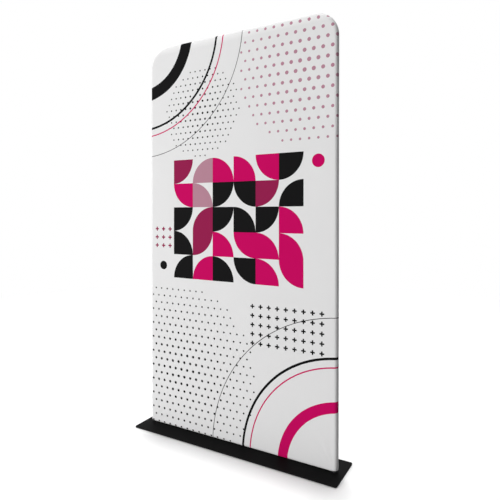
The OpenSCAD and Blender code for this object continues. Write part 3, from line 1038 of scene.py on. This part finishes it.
@dataclass(frozen=True)
class Stitching:
    """Short round-ended threads, each a row of rings along it.

    Every ring has its place as a share of the length, and its thickness and its dip as shares of the
    radius.
    """

    pitch: float = 3.2 * MM
    length: float = 2.4 * MM
    radius: float = 0.28 * MM
    lift: float = 0.112 * MM

    THREAD = TapeWeave("white_thread", colour=(0.80, 0.80, 0.81), pitch=0.3 * MM)
    SIDES = 5
    PLACE = np.array([-0.5, -0.36, 0.36, 0.5])
    THICKNESS = np.array([0.3, 1.0, 1.0, 0.3])
    DIP = np.array([-1.0, 0.0, 0.0, -1.0])

    def piece(self, name: str, centres: np.ndarray, ways: np.ndarray,
              normals: np.ndarray) -> bpy.types.Object:
        """Every stitch: middle + place along it + dip below the cloth, and a circle round that.

        Args:
            name: the piece's name.
            centres: the stitches' middles.
            ways: which way each runs, of length one.
            normals: which way each faces, of length one.

        Returns:
            One piece with all of them.
        """
        turn = np.arange(self.SIDES)[:, None] * math.tau / self.SIDES
        along, dip = self.PLACE[:, None] * self.length, self.DIP[:, None] * self.radius
        thick = self.THICKNESS[:, None, None] * self.radius
        up, beside = normals[:, None, None], np.cross(ways, normals)[:, None, None]
        spine = centres[:, None] + ways[:, None] * along + normals[:, None] * dip
        points = spine[:, :, None] + (up * np.cos(turn) + beside * np.sin(turn)) * thick
        level, corner = np.meshgrid(np.arange(len(along) - 1), np.arange(self.SIDES), indexing="ij")
        here, beyond = level * self.SIDES + corner, level * self.SIDES + (corner + 1) % self.SIDES
        one = np.stack([here, beyond, beyond + self.SIDES, here + self.SIDES], axis=-1).reshape(-1, 4)
        starts = np.arange(len(centres))[:, None, None] * len(along) * self.SIDES
        faces = (one + starts).reshape(-1, 4)
        made = piece_from(name, points.reshape(-1, 3), faces, self.THREAD.material)
        with edited(made.data) as worked:
            bmesh.ops.holes_fill(worked, edges=[edge for edge in worked.edges if edge.is_boundary], sides=0)
        made.data.shade_smooth()
        log.info("%s: %d stitches", name, len(centres))
        return made


@dataclass
class FabricCover:
    """The stretched cover: two panels, each wrapped round the outer tubes as far as the sewn edge.

    Both follow one line, the axis line of the tubes: square at the bottom and round at the top.
    Places on the flat cut are places in the banner's plane, with the wrapped edge laid out flat.
    """

    # the tubes, the bends and the round openings for the bottom corners' bosses
    tube_r: float = 16.0 * MM
    corner_r: float = 125.0 * MM
    boss_r: float = 15.0 * MM
    thickness: float = 0.75 * MM
    # the grid: its spacing, how far from the posts and the bottom edge it is twice as fine, and how
    # near its lines may come to the exact ones, as shares of the spacing
    spacing: float = 12.0 * MM
    fine_reach: float = 200.0 * MM
    crowded_across: float = 0.4
    crowded_up: float = 0.3
    # the spans, which draw in between the tubes
    rail_clear: float = 25.6 * MM
    span_in: float = 0.8 * MM
    span_ease: PAIR = (160.0 * MM, 200.0 * MM)
    # the folds at the bottom corners, with angles in radians
    fold_rise: float = 1.1 * MM
    fold_start: float = 12.0 * MM
    fold_growth: float = 50.0 * MM
    fold_fade: float = 110.0 * MM
    fold_waves: float = 15.0
    fold_ease: float = 0.2
    fold_end: float = 1.57
    # the puckers along the bends, which start and grow by shares of the way to the seam
    pucker_rise: float = 0.35 * MM
    pucker_length: float = math.tau * 2.1 * MM
    pucker_start: float = 0.1
    pucker_growth: float = 0.8
    # the ridge beside the seam, on which the stitches lie
    seam_at: float = 2.2 * MM
    ridge_rise: float = 0.35 * MM
    ridge_spread: float = 1.3 * MM
    # the slot that the zip closes, and the raised hem round it
    slot_half: float = 6.5 * MM
    slot_past: float = 1.0 * MM
    hem: float = 7.0 * MM
    hem_slope: float = 1.5 * MM
    hem_rise: float = 0.45 * MM
    hem_slack: float = 0.1 * MM
    # the depth of the band under the top rail whose cloth is painted paler, a painted highlight
    painted_highlight_band: float = 32.0 * MM
    stitching: Stitching = Stitching()

    FRONT_GROUND = (0.815, 0.812, 0.813)
    BACK_GROUND = (0.80, 0.80, 0.81)
    PRINT_SPAN = 2.4
    PRINT_LOW = (-1.2, -0.05)
    # how far outside the slot each row of stitches lies
    ZIP_ROWS = (1.8 * MM, 5.4 * MM)
    # the grid's lines near a post, as shares of the boss's radius
    BOSS_LINES = np.array([1.0, 0.93, 0.8, 0.6, 0.35])
    # degrees round the tube from the face to the seam
    WRAP_STEPS = np.array([0, 9, 18, 27, 36, 45, 54, 63, 70, 75, 79, 82, 84.5, 87, 88.5, 90])
    CORNER_STEPS = 10
    BEND_STEPS = 18
    # how far an outward direction points down: straight, and more than a little
    STRAIGHT = 0.999
    LEANING_DOWN = 0.1

    def __post_init__(self) -> None:
        """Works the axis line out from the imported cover's box, and the slot from the zip's place."""
        low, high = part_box("cover_front")
        self.wrap_r = -low.y
        self.post_x = high.x - self.wrap_r
        self.low_z = low.z + self.wrap_r
        self.top_z = high.z - self.wrap_r
        self.bend_r = self.corner_r - self.tube_r
        self.bend_z = self.top_z - self.bend_r
        zip_low, zip_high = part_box("zip_stops")
        self.zip_z = (zip_low.z + zip_high.z) / 2
        self.slot_x = -zip_low.x + self.slot_past
        self.hem_lines = np.array([0.0, self.hem, self.hem + self.hem_slope])
        log.info("cover: posts at %.4f, axis line %.4f to %.4f", self.post_x, self.low_z, self.top_z)

    def lines_across(self, side: Side) -> np.ndarray:
        """The grid's upright lines, at the height where the panel is widest, closer near the posts.

        Args:
            side: which panel.

        Returns:
            X places from left to right.
        """
        exact = self.post_x - self.boss_r * self.BOSS_LINES
        if side is Side.BACK:
            exact = np.concatenate([exact, self.slot_x + self.hem_lines])
        return grid_lines(-self.post_x, self.post_x, self.spacing,
                          lambda x: np.abs(x) > self.post_x - self.fine_reach,
                          np.concatenate([exact, -exact]), self.spacing * self.crowded_across)

    def lines_up(self, side: Side) -> np.ndarray:
        """The grid's level lines: closer low down, and at even angles round the bend.

        Args:
            side: which panel.

        Returns:
            Z places from the bottom to the top.
        """
        out = np.concatenate([[0.0], self.slot_half + self.hem_lines]) if side is Side.BACK else np.array([])
        exact = np.concatenate([self.zip_z + out, self.zip_z - out])
        even = grid_lines(self.low_z, self.bend_z, self.spacing,
                          lambda z: z < self.low_z + self.fine_reach, exact, self.spacing * self.crowded_up)
        angles = np.linspace(0, QUARTER, self.BEND_STEPS + 1)[1:]
        return np.concatenate([even, self.bend_z + self.bend_r * np.sin(angles)])

    def half_width(self, z: np.ndarray) -> np.ndarray:
        """Half the axis line's width at some heights: the posts' place, less what the bend takes off."""
        over = np.clip(z - self.bend_z, 0, self.bend_r)
        return self.post_x - self.bend_r + np.sqrt(self.bend_r**2 - over**2)

    def drawn_in(self, x: np.ndarray, z: np.ndarray) -> np.ndarray:
        """How far the spans between the tubes draw in: a squared sine of the way into each.

        Args:
            x: places across the flat cut.
            z: places up the flat cut.

        Returns:
            The distances outwards, which are negative.
        """
        rail_low, rail_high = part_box("mid_rail")
        off_rail = np.abs(z - (rail_low.z + rail_high.z) / 2)
        across = (self.post_x - self.rail_clear - np.abs(x)) / self.span_ease[0]
        up = np.minimum(off_rail, np.minimum(z - self.low_z, self.top_z - z)) - self.rail_clear
        return -self.span_in * swell(across) * swell(up / self.span_ease[1])

    def corner_folds(self, x: np.ndarray, z: np.ndarray) -> np.ndarray:
        """Folds that fan out of the bottom corners: a cosine of the angle round each, and fading.

        Args:
            x: places across the flat cut.
            z: places up the flat cut.

        Returns:
            The distances outwards.
        """
        folds = np.zeros_like(x)
        for hand in (-1, 1):
            inwards, upwards = self.post_x - hand * x, z - self.low_z
            away, turn = np.hypot(inwards, upwards), np.arctan2(upwards, inwards)
            fade = smooth((away - self.fold_start) / self.fold_growth) * np.exp(-away / self.fold_fade)
            ends = smooth(turn / self.fold_ease) * smooth((self.fold_end - turn) / self.fold_ease)
            folds += self.fold_rise * fade * ends * np.cos(turn * self.fold_waves + hand)
        return folds

    def bend_puckers(self, x: np.ndarray, z: np.ndarray) -> np.ndarray:
        """Small waves along the sewn bends, which grow from the face to the seam.

        Args:
            x: places across the flat cut.
            z: places up the flat cut.

        Returns:
            The distances outwards.
        """
        right, up = np.abs(x) - (self.post_x - self.bend_r), z - self.bend_z
        turn = np.arctan2(up, np.maximum(right, NEARLY_NONE))
        to_seam = (np.hypot(right, up) - self.bend_r) / (self.wrap_r * QUARTER)
        wave = 0.5 - 0.5 * np.cos(turn * self.bend_r / self.pucker_length * math.tau)
        growth = smooth((to_seam - self.pucker_start) / self.pucker_growth)
        rise = self.pucker_rise * growth * wave * np.sin(2 * turn).clip(0, 1)
        return np.where((right > 0) & (up > 0), rise, 0)

    def relief(self, side: Side, x: np.ndarray, z: np.ndarray) -> np.ndarray:
        """How far the cloth stands off the plain wrapped shape, outwards, with the hem round the slot.

        Args:
            side: which panel.
            x: places across the flat cut.
            z: places up the flat cut.

        Returns:
            The distances.
        """
        relief = self.drawn_in(x, z) + self.corner_folds(x, z) + self.bend_puckers(x, z)
        if side is Side.BACK:
            relief += self.hem_rise * (self.off_slot(x, z) < self.hem + self.hem_slack)
        return relief

    def off_slot(self, x: np.ndarray, z: np.ndarray) -> np.ndarray:
        """How far places lie outside the slot that the zip closes, and below 0 inside it."""
        return np.maximum(np.abs(x) - self.slot_x, np.abs(z - self.zip_z) - self.slot_half)

    def ridge(self, arcs: np.ndarray) -> np.ndarray:
        """The rounded ridge beside the seam: a bell curve of the way from the seam along the cloth."""
        from_seam = (QUARTER - arcs) * self.wrap_r
        return self.ridge_rise * np.exp(-(((from_seam - self.seam_at) / self.ridge_spread) ** 2))

    def axis_line(self, across: np.ndarray, up: np.ndarray) -> EdgeLine:
        """The axis line as a closed loop, counter-clockwise seen from the front.

        Args:
            across: the grid's upright lines.
            up: the grid's level lines.

        Returns:
            The line. A bottom corner holds several directions at one place.
        """
        side_x = self.half_width(up)
        slope = np.arcsin(np.clip((up - self.bend_z) / self.bend_r, 0, 1))
        turn = np.linspace(-QUARTER, 0, self.CORNER_STEPS + 1)[1:-1]
        right = np.stack([side_x, up], axis=1)
        right_out = np.stack([np.cos(slope), np.sin(slope)], axis=1)
        corner = np.tile([[self.post_x, self.low_z]], (len(turn), 1))
        corner_out = np.stack([np.cos(turn), np.sin(turn)], axis=1)
        flip = np.array([[-1.0, 1.0]])
        top_x = (across * side_x[-1] / self.post_x)[-2:0:-1]
        top = np.stack([top_x, np.full_like(top_x, self.top_z)], axis=1)
        bottom = np.stack([across, np.full_like(across, self.low_z)], axis=1)
        places = [bottom, corner, right, top, (right * flip)[::-1], (corner * flip)[::-1]]
        outward = [np.tile([[0.0, -1.0]], (len(bottom), 1)), corner_out, right_out,
                   np.tile([[0.0, 1.0]], (len(top), 1)), (right_out * flip)[::-1], (corner_out * flip)[::-1]]
        return EdgeLine(np.concatenate(places), np.concatenate(outward))

    def wrap_limit(self, line: EdgeLine) -> np.ndarray:
        """How far round the tube the cloth goes: to the seam, or to the edge of a boss's opening.

        The opening is an upright cylinder on the post's axis. On the bottom edge the wrap meets it
        where its distance from that axis is the opening's radius, and so on round the corner's ball.

        Args:
            line: places on the axis line.

        Returns:
            The largest angles.
        """
        beside = np.abs(np.abs(line.places[:, 0]) - self.post_x)
        downwards = -line.outward[:, 1]
        reach = np.sqrt(np.clip(self.boss_r**2 - beside**2, 0, None)) / self.wrap_r
        level = np.where(downwards > self.STRAIGHT, np.arccos(np.clip(reach, 0, 1)), QUARTER)
        cut = math.sqrt(1 - (self.boss_r / self.wrap_r) ** 2)
        ball = np.arcsin(np.clip(cut / np.maximum(downwards, NEARLY_NONE), 0, 1))
        return np.where(beside < NEARLY_NONE, ball, level)

    def wrapped(self, side: Side, line: EdgeLine, arcs: np.ndarray,
                lift: float = 0.0) -> tuple[np.ndarray, np.ndarray]:
        """Points of the cloth round the tubes: place + r sin(arc) outwards, r cos(arc) to the side.

        Args:
            side: which panel.
            line: places on the axis line.
            arcs: one row of angles round the tube to a place.
            lift: how far above the cloth the points lie.

        Returns:
            The points and their places on the flat cut.
        """
        places, outward = line.places[:, None], line.outward[:, None]
        cut = places + outward * (arcs * self.wrap_r)[..., None]
        radius = self.wrap_r + self.relief(side, cut[..., 0], cut[..., 1]) + self.ridge(arcs) + lift
        flat = places + outward * (radius * np.sin(arcs))[..., None]
        return np.stack([flat[..., 0], side.value * radius * np.cos(arcs), flat[..., 1]], axis=-1), cut

    def panel(self, side: Side, finish: Finish) -> bpy.types.Object:
        """One panel: a grid over the face, and a grid round its edge.

        Args:
            side: which panel.
            finish: its cloth.

        Returns:
            The panel, with its thickness.
        """
        across, up = self.lines_across(side), self.lines_up(side)
        x = across * self.half_width(up)[:, None] / self.post_x
        z = np.repeat(up[:, None], len(across), axis=1)
        face = np.stack([x, side.value * (self.wrap_r + self.relief(side, x, z)), z], axis=-1).reshape(-1, 3)
        quads = grid_quads(len(up), len(across))
        if side is Side.BACK:
            middle_x, _, middle_z = face[quads].mean(axis=1).T
            quads = quads[self.off_slot(middle_x, middle_z) > 0]
        line = self.axis_line(across, up)
        arcs = self.wrap_limit(line)[:, None] * (self.WRAP_STEPS / self.WRAP_STEPS[-1])
        edge, edge_cut = self.wrapped(side, line, arcs)
        faces = np.concatenate([quads, grid_quads(*arcs.shape, closed=True) + len(face)])
        if side is Side.BACK:
            faces = faces[:, ::-1]
        points = np.concatenate([face, edge.reshape(-1, 3)])
        cut = np.concatenate([face[:, ::2], edge_cut.reshape(-1, 2)])
        uv = (cut - self.PRINT_LOW) / self.PRINT_SPAN
        made = piece_from(f"cover_{side.name.lower()}_cloth", points, faces, finish.material, uv)
        with edited(made.data) as worked:
            bmesh.ops.remove_doubles(worked, verts=worked.verts, dist=SAME_CLOTH)
            bmesh.ops.dissolve_degenerate(worked, edges=worked.edges, dist=SAME_CLOTH)
        wall = made.modifiers.new("cloth_thickness", "SOLIDIFY")
        wall.thickness = self.thickness
        wall.offset = -1.0
        return made

    def seam_stitches(self) -> bpy.types.Object:
        """The stitches along both sides of the edge seam, but not at the bosses' openings.

        Returns:
            One piece with every stitch.
        """
        posts = np.array([-self.post_x, self.post_x])
        line = self.axis_line(posts, self.lines_up(Side.FRONT)).evened(self.wrap_r, self.stitching.pitch)
        beside = np.abs(np.abs(line.places[:, 0]) - self.post_x)
        low_down = line.places[:, 1] < self.low_z + self.tube_r
        faces_down = -line.outward[:, 1] > self.LEANING_DOWN
        at_boss = (beside < self.boss_r + self.stitching.pitch) & low_down & faces_down
        line = line.kept((self.wrap_limit(line) > QUARTER - NEARLY_NONE) & ~at_boss)
        out_x, out_z = line.outward.T
        arc = QUARTER - self.seam_at / self.wrap_r
        centres, normals = [], []
        for side in Side:
            points, _ = self.wrapped(side, line, np.full((len(out_x), 1), arc), self.stitching.lift)
            centres.append(points[:, 0])
            depth = np.full_like(out_x, side.value * math.cos(arc))
            normals.append(np.stack([out_x * math.sin(arc), depth, out_z * math.sin(arc)], axis=1))
        ways = np.stack([-out_z, np.zeros_like(out_x), out_x], axis=1)
        return self.stitching.piece("seam_stitches", np.concatenate(centres), np.concatenate([ways, ways]),
                                    np.concatenate(normals))

    def mesh_relief(self, x: np.ndarray, z: np.ndarray) -> np.ndarray:
        """How far the back panel's mesh stands off: the relief at its lines, and straight between them.

        Args:
            x: places across the panel, below the bend.
            z: places up it.

        Returns:
            The distances.
        """
        across, up = self.lines_across(Side.BACK), self.lines_up(Side.BACK)
        grid = self.relief(Side.BACK, *np.meshgrid(across, up))
        column, row = np.searchsorted(across, x) - 1, np.searchsorted(up, z) - 1
        right = (x - across[column]) / (across[column + 1] - across[column])
        above = (z - up[row]) / (up[row + 1] - up[row])
        low, high = (grid[r, column] * (1 - right) + grid[r, column + 1] * right for r in (row, row + 1))
        return low * (1 - above) + high * above

    def zip_stitches(self) -> bpy.types.Object:
        """Two rows of stitches all round the slot, which hold the zip's tapes.

        Returns:
            One piece with every stitch.
        """
        centres, ways = [], []
        for off in self.ZIP_ROWS:
            wide, tall = self.slot_x + off, self.slot_half + off
            along, upwards = evenly(wide, self.stitching.pitch), evenly(tall, self.stitching.pitch)
            for hand in (-1, 1):
                centres.append(np.stack([along, np.full_like(along, self.zip_z + hand * tall)], axis=1))
                ways.append(np.tile([[1.0, 0.0, 0.0]], (len(along), 1)))
                centres.append(np.stack([np.full_like(upwards, hand * wide), self.zip_z + upwards], axis=1))
                ways.append(np.tile([[0.0, 0.0, 1.0]], (len(upwards), 1)))
        x, z = np.concatenate(centres).T
        y = self.wrap_r + self.mesh_relief(x, z) + self.stitching.lift
        return self.stitching.piece("zip_stitches", np.stack([x, y, z], axis=1), np.concatenate(ways),
                                    np.tile([[0.0, 1.0, 0.0]], (len(x), 1)))

    def build(self) -> None:
        """Makes both panels and their stitches."""
        for side, ground, slot, own in (
            (Side.FRONT, self.FRONT_GROUND, "print_front", self.seam_stitches()),
            (Side.BACK, self.BACK_GROUND, "fabric_back", self.zip_stitches()),
        ):
            name = side.name.lower()
            # each cloth is given the painted highlight band under the top rail
            cloth = StretchCloth(f"stretch_{name}", ground, printed=side is Side.FRONT,
                                 cut_span=self.PRINT_SPAN, cut_low=self.PRINT_LOW,
                                 painted_highlight_band=(self.top_z - self.painted_highlight_band, self.top_z))
            made = self.panel(side, cloth)
            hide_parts(f"cover_{name}")
            report(made, "banner")
            report(own, "banner")


@dataclass
class ZipFastener:
    """The zip that closes the cover's back, near the bottom edge."""

    edge: float = 0.18 * MM

    TAPE = TapeWeave("zip_tape", colour=(0.78, 0.78, 0.79), pitch=0.55 * MM)
    TEETH = Moulded("zip_nylon", colour=(0.80, 0.80, 0.81), roughness=(0.28, 0.40), grain_depth=0.02 * MM)
    METAL = BareMetal("zip_metal", colour=(0.62, 0.62, 0.63),
                      roughness=(0.14, 0.28), grain=Grain.NONE, marks=0.5)

    def build(self) -> None:
        """Dresses the zip's nodes, and eases the slider's and the pull's edges."""
        dress_nodes(self.TAPE, "zip_tape_")
        dress_nodes(self.TEETH, "zip_teeth_")
        dress_nodes(self.METAL, "zip_stops")
        for node in ("zip_slider", "zip_pull"):
            report(bevelled_copy(node, self.edge, self.METAL), node)


# ---------------------------------------------------------------- studio


@dataclass
class Studio:
    """A pale floor, plain soft light and the camera at the photograph's place."""

    # the camera's place, its turn and tilt in radians, and its lens in the photograph's pixels
    camera_at: TRIPLE = (1.3715, -2.2229, 1.2941)
    camera_turn: float = 0.5210
    camera_down: float = 0.0087
    frame_px: float = 500.0
    focal_px: float = 468.07
    centre_up_px: float = 32.58
    # the floor, and how far away it turns to plain white
    floor_half: float = 40.0
    floor_squares: int = 8
    floor_fade: float = 4.5
    floor_soft: float = 1.5
    floor_tone: TRIPLE = (0.80, 0.80, 0.80)
    floor_bounce: TRIPLE = (0.25, 0.25, 0.25)
    floor_glow: float = 0.05
    # the world's strength as a light, how much less comes from the right, and the softbox's aim
    sky: float = 0.30
    sky_lean: float = 0.20
    aim_z: float = 1.2

    def camera(self) -> None:
        """Makes the camera. Its focal length and shift are the photograph's, in its own pixels."""
        data = bpy.data.cameras.new("photo_camera")
        data.sensor_width = 36.0
        data.lens = self.focal_px / self.frame_px * data.sensor_width
        data.shift_y = -self.centre_up_px / self.frame_px
        data.clip_start, data.clip_end = 0.05, 200.0
        made = placed("photo_camera", data)
        made.location = self.camera_at
        made.rotation_euler = (QUARTER - self.camera_down, 0.0, self.camera_turn)
        bpy.context.scene.camera = made

    def seen(self, graph: Graph) -> Value:
        """Tells what the camera sees, straight, in a gloss or through glass, from stray light.

        Args:
            graph: the floor's or the world's graph.

        Returns:
            A mask that is 1 for what is seen.
        """
        rays = graph.fed("ShaderNodeLightPath", {}, "Is Camera Ray")
        clear = graph.math("MAXIMUM", rays.beside("Is Glossy Ray"), rays.beside("Is Transmission Ray"))
        return graph.math("MAXIMUM", rays, clear)

    def floor(self) -> None:
        """Makes the floor: pale to the camera, and greyer for the light that it throws back up.

        Far from the object it turns to plain white, so that no horizon shows.
        """
        material = bpy.data.materials.new("studio_floor")
        graph = Graph.of(material)
        seen = self.seen(graph)
        away = graph.vector("LENGTH", graph.fed("ShaderNodeTexCoord", {}, "Object"))
        near = away.below(self.floor_fade, self.floor_soft)
        shown = graph.mixed(near, (0.0, 0.0, 0.0), self.floor_tone)
        plain = graph.fed("ShaderNodeBsdfDiffuse", {"Color": graph.mixed(seen, self.floor_bounce, shown)})
        glow = graph.fed("ShaderNodeEmission", {"Strength": seen * near.between(1.0, self.floor_glow)})
        graph.end("ShaderNodeOutputMaterial", graph.fed("ShaderNodeAddShader", {0: plain, 1: glow}))
        lines = np.linspace(-self.floor_half, self.floor_half, self.floor_squares + 1)
        x, y = np.meshgrid(lines, lines)
        points = np.stack([x, y, np.zeros_like(x)], axis=-1).reshape(-1, 3)
        piece_from("studio_floor", points, grid_quads(len(lines), len(lines)), material)

    def world(self) -> None:
        """Makes the world, which is white to the camera and dimmer as a light, most from the right."""
        world = bpy.data.worlds.new("studio_white")
        bpy.context.scene.world = world
        graph = Graph.of(world)
        rightward, _, _ = graph.parts(graph.fed("ShaderNodeTexCoord", {}, "Generated"))
        dimmed = self.sky - rightward * self.sky_lean
        inputs = {"Color": (1.0, 1.0, 1.0), "Strength": self.seen(graph).between(dimmed, 1.0)}
        graph.end("ShaderNodeOutputWorld", graph.fed("ShaderNodeBackground", inputs))

    def lamp(self, name: str, turn: float, height: float, strength: float, softness: float) -> None:
        """Makes one broad, distant lamp that points at the object and leaves no glint on it.

        Args:
            name: the lamp's name.
            turn: its way round from the front, in degrees, positive to the right.
            height: its height above the horizon, in degrees.
            strength: its strength.
            softness: how wide it looks, in degrees.
        """
        data = bpy.data.lights.new(name, "SUN")
        data.energy = strength
        data.angle = math.radians(softness)
        made = placed(name, data)
        made.visible_glossy = False
        made.rotation_euler = (math.radians(90 - height), 0.0, math.radians(turn))

    def softbox(self, name: str, turn: float, height: float, away: float, side: float,
                strength: float) -> None:
        """Makes a square softbox that faces the banner's middle, and so dims towards the banner's far side.

        Args:
            name: the lamp's name.
            turn: its way round from the front, in degrees, positive to the right.
            height: its height above the horizon, in degrees.
            away: its distance from the banner's middle.
            side: its side's length.
            strength: the light that reaches the middle, on a sun lamp's scale.
        """
        data = bpy.data.lights.new(name, "AREA")
        data.size = side
        data.energy = strength * math.pi * away**2
        made = placed(name, data)
        turned, up = math.radians(turn), math.radians(height)
        level, above = away * math.cos(up), away * math.sin(up)
        made.location = (level * math.sin(turned), -level * math.cos(turned), above + self.aim_z)
        made.rotation_euler = (QUARTER - up, 0.0, turned)

    def build(self) -> None:
        """Makes the camera, the floor, the world and the lamps."""
        self.camera()
        self.floor()
        self.world()
        self.softbox("front_left", turn=-35.0, height=2.0, away=11.0, side=3.0, strength=2.37)
        self.lamp("overhead", turn=206.0, height=85.4, strength=2.6, softness=6.0)
        self.lamp("back_left", turn=215.0, height=8.0, strength=1.9, softness=40.0)
        bpy.context.scene.view_settings.view_transform = "Standard"


def main() -> None:
    """Builds the sub-assemblies in order."""
    logging.basicConfig(level=logging.INFO, format="%(message)s")
    for assembly in (Studio(), BaseStand(), TubeFrame(), FabricCover(), ZipFastener()):
        assembly.build()


if __name__ == "__main__":
    main()
